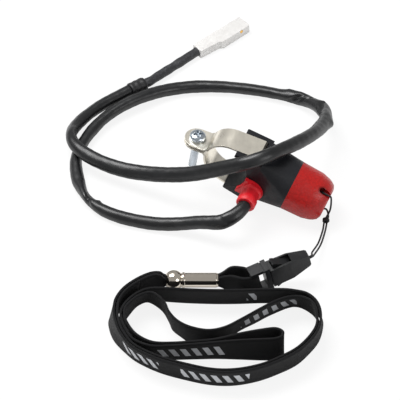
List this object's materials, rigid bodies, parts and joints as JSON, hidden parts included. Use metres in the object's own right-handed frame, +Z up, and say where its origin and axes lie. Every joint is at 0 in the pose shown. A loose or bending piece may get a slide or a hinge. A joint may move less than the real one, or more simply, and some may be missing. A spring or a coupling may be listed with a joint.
{
  "type": "engine kill switch with lanyard",
  "caption": "Clamp-on engine cut-out switch with a magnetic pull cap, a lead with a plug, and a tether strap with a quick-release buckle and a slide bead.",
  "frame": {"origin": "middle of the box round the switch and the lanyard, without the free lead and its plug, at its lowest point", "axes": "+Z up from the floor that the parts lie on, +Y away from the lanyard towards the switch and the plug, +X along the buckle's side"},
  "size_m": [0.1302, 0.2521, 0.0404],
  "materials": {
    "housing_plastic": "moulded black plastic, fine grain",
    "insert_plastic": "moulded black plastic",
    "steel_zinc": "zinc plated steel",
    "band_metal": "plated spring steel, satin",
    "cap_plastic": "moulded red plastic",
    "gland_rubber": "moulded red rubber",
    "sleeve_plastic": "soft black sleeving",
    "connector_plastic": "natural white nylon",
    "brass": "stamped brass",
    "board": "green board",
    "glass": "glass tube",
    "wire_red": "wire insulation",
    "wire_black": "wire insulation",
    "magnet_metal": "nickel plated magnet",
    "buckle_plastic": "moulded black plastic",
    "strap_fabric": "woven polyester webbing",
    "cord_fabric": "thin braided cord",
    "bead_chrome": "polished chrome"
  },
  "bodies": {
    "switch": {"switch_housing": "housing_plastic", "front_insert": "insert_plastic", "keeper_ring": "steel_zinc", "reed_carrier": "board", "reed_capsule": "glass", "reed_leads": "steel_zinc", "signal_wire": "wire_red", "return_wire": "wire_black", "clamp_band": "band_metal", "clamp_screw": "steel_zinc", "cable_gland": "gland_rubber", "switch_cable": "sleeve_plastic", "sleeve_collar": "sleeve_plastic", "lead_sleeve": "sleeve_plastic", "connector_housing": "connector_plastic", "connector_terminals": "brass"},
    "cap": {"cap_shell": "cap_plastic", "cap_magnet": "magnet_metal", "magnet_backing": "steel_zinc", "tether_cord": "cord_fabric", "buckle_socket": "buckle_plastic"},
    "lanyard": {"buckle_plug": "buckle_plastic", "lanyard_strap": "strap_fabric"},
    "bead": {"bead_slider": "bead_chrome"}
  },
  "joints": [
    {"name": "cap_pull", "type": "slide", "parent": "switch", "child": "cap", "axis": [0.8885, -0.3234, -0.3256], "range_m": [0, 0.008]},
    {"name": "buckle_release", "type": "slide", "parent": "cap", "child": "lanyard", "axis": [-0.9101, -0.3677, -0.1908], "range_m": [0, 0.014], "deforming": ["buckle_plug"]},
    {"name": "bead_slide", "type": "slide", "parent": "lanyard", "child": "bead", "axis": [-1, 0, 0], "range_m": [0, 0.008], "deforming": ["lanyard_strap"]}
  ]
}
